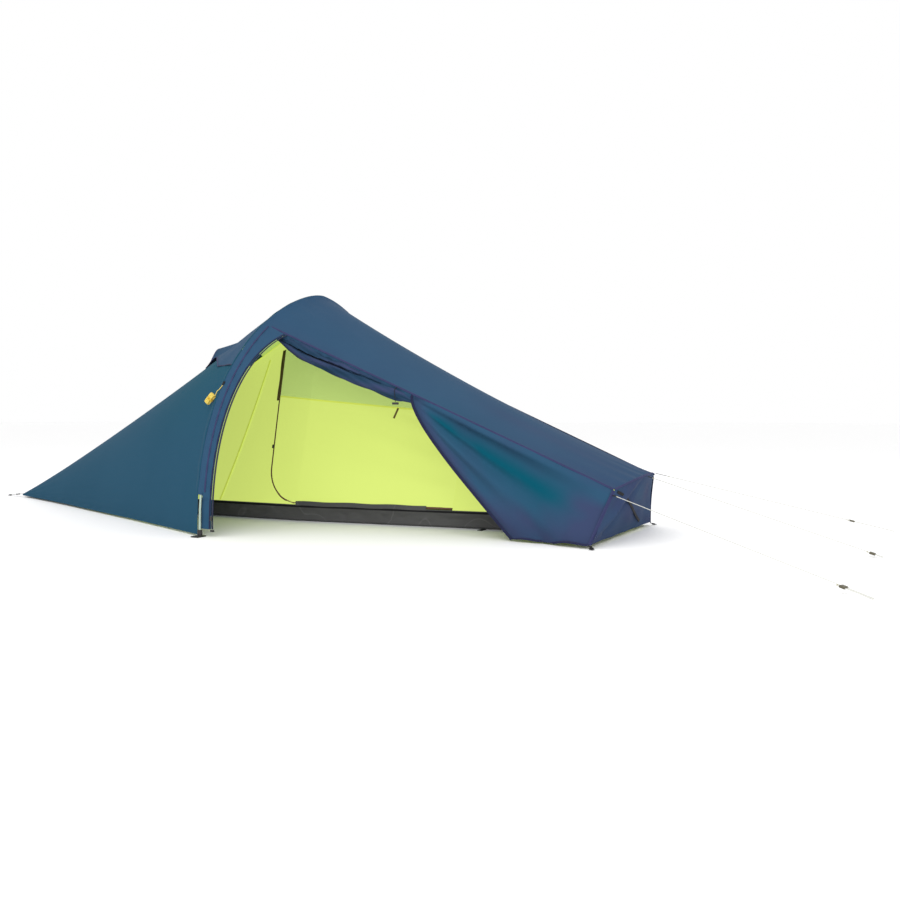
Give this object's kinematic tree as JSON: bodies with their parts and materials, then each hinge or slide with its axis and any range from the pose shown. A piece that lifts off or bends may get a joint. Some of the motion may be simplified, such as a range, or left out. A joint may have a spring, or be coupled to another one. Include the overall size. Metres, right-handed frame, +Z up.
{
  "type": "one-person single-hoop tent",
  "caption": "Pitched one-person tent: single hoop pole in a sleeve, cone-shaped head end, low foot end, rolled-back door showing the inner tent, guy lines.",
  "frame": {"origin": "on the ground under the middle of the hoop", "axes": "+X along the tent from the hoop to the foot end, +Y away from the door side, +Z up"},
  "size_m": [4.5342, 1.6485, 1],
  "materials": {
    "pole_alloy": "anodised tube",
    "elastic": "braided elastic",
    "fly_cloth": "coated woven nylon, slight sheen",
    "inner_mesh": "fine netting",
    "moulded_plastic": "moulded, satin",
    "webbing": "woven tape",
    "fly_zip": "coil zip tape",
    "inner_zip": "coil zip tape and binding",
    "guy_cord": "braided cord with reflective fleck",
    "runner_plastic": "moulded, satin",
    "groundsheet": "coated woven nylon, dull",
    "inner_cloth": "light woven nylon"
  },
  "bodies": {
    "tent": {"door_edge_band": "fly_cloth", "door_hem_hook": "moulded_plastic", "end_vent_tape": "webbing", "floor_peg_loop": "webbing", "fly_door_panel": "fly_cloth", "fly_door_roll": "fly_cloth", "fly_end_wall": "fly_cloth", "fly_head": "fly_cloth", "fly_roof": "fly_cloth", "fly_side_far": "fly_cloth", "fly_zip_chain": "fly_zip", "foot_strap_far": "webbing", "foot_strap_near": "webbing", "guy_line_centre": "guy_cord", "guy_line_far": "guy_cord", "guy_line_near": "guy_cord", "guy_tab_centre": "webbing", "guy_tab_far": "webbing", "guy_tab_near": "webbing", "head_strap": "webbing", "inner_floor": "groundsheet", "inner_foot_wall": "inner_cloth", "inner_hanger_ridge": "moulded_plastic", "inner_hanger_side": "moulded_plastic", "inner_head_wall": "inner_cloth", "inner_side_foot": "inner_cloth", "inner_side_head": "inner_cloth", "inner_wall_far": "inner_cloth", "inner_zip_chain": "inner_zip", "inner_zip_flap": "inner_zip", "pole_foot_far": "moulded_plastic", "pole_foot_near": "moulded_plastic", "pole_section_1": "pole_alloy", "pole_section_2": "pole_alloy", "pole_section_3": "pole_alloy", "pole_section_4": "pole_alloy", "pole_section_5": "pole_alloy", "pole_section_6": "pole_alloy", "pole_section_7": "pole_alloy", "pole_sleeve": "fly_cloth", "shock_cord": "elastic", "storm_guy_hank": "guy_cord", "storm_guy_tab": "webbing", "toggle_loop": "webbing", "vent_hood": "fly_cloth", "vent_mesh": "inner_mesh"},
    "inner_door_leaf": {"inner_door": "inner_cloth", "inner_door_mesh": "inner_mesh", "inner_door_tie": "inner_zip"},
    "inner_zip_slider": {"inner_zip_slider": "moulded_plastic"},
    "fly_zip_slider": {"fly_zip_slider": "moulded_plastic"},
    "guy_runner_near": {"guy_runner_near": "runner_plastic"},
    "guy_runner_centre": {"guy_runner_centre": "runner_plastic"},
    "guy_runner_far": {"guy_runner_far": "runner_plastic"},
    "vent_stay": {"vent_stay": "moulded_plastic"},
    "door_toggle": {"door_toggle": "moulded_plastic"},
    "head_ring": {"head_ring": "moulded_plastic"},
    "foot_ring_near": {"foot_ring_near": "moulded_plastic"},
    "foot_ring_far": {"foot_ring_far": "moulded_plastic"},
    "head_buckle": {"head_buckle": "moulded_plastic"}
  },
  "joints": [
    {"name": "inner_door_hinge", "type": "hinge", "parent": "tent", "child": "inner_door_leaf", "pos_m": [0.72, -0.09193, 0.0675], "axis": [0, -0.2973, -0.9548], "range_deg": [0, 12]},
    {"name": "inner_zip_slide", "type": "slide", "parent": "tent", "child": "inner_zip_slider", "axis": [-0.0663, 0.2656, 0.9618], "range_m": [-0.06, 0.18]},
    {"name": "fly_zip_slide", "type": "slide", "parent": "tent", "child": "fly_zip_slider", "axis": [0.0002, 0.1305, 0.9914], "range_m": [0, 0.014]},
    {"name": "runner_near_slide", "type": "slide", "parent": "tent", "child": "guy_runner_near", "axis": [0.8153, -0.5546, -0.1661], "range_m": [-0.4, 0.05]},
    {"name": "runner_centre_slide", "type": "slide", "parent": "tent", "child": "guy_runner_centre", "axis": [0.9527, -0.1398, -0.2697], "range_m": [-0.4, 0.008]},
    {"name": "runner_far_slide", "type": "slide", "parent": "tent", "child": "guy_runner_far", "axis": [0.8972, 0.3744, -0.2343], "range_m": [-0.4, 0.12]},
    {"name": "vent_stay_fold", "type": "hinge", "parent": "tent", "child": "vent_stay", "pos_m": [-0.596, 0, 0.70031], "axis": [0, 1, 0], "range_deg": [0, 40]},
    {"name": "toggle_turn", "type": "hinge", "parent": "tent", "child": "door_toggle", "pos_m": [0.6, -0.33907, 0.50464], "axis": [0, 0, 1], "range_deg": [-60, 60]},
    {"name": "head_ring_swing", "type": "hinge", "parent": "tent", "child": "head_ring", "pos_m": [-2.20829, 0, 0.0046], "axis": [0, 1, 0], "range_deg": [0, 80]},
    {"name": "foot_ring_near_swing", "type": "hinge", "parent": "tent", "child": "foot_ring_near", "pos_m": [1.4149, -0.39202, 0.0046], "axis": [-0.8336, -0.5524, 0], "range_deg": [0, 80]},
    {"name": "foot_ring_far_swing", "type": "hinge", "parent": "tent", "child": "foot_ring_far", "pos_m": [1.4149, 0.39202, 0.0046], "axis": [0.8336, -0.5524, 0], "range_deg": [0, 80]},
    {"name": "buckle_slide", "type": "slide", "parent": "tent", "child": "head_buckle", "axis": [-0.9943, 0, -0.1064], "range_m": [-0.03, 0.045]}
  ]
}
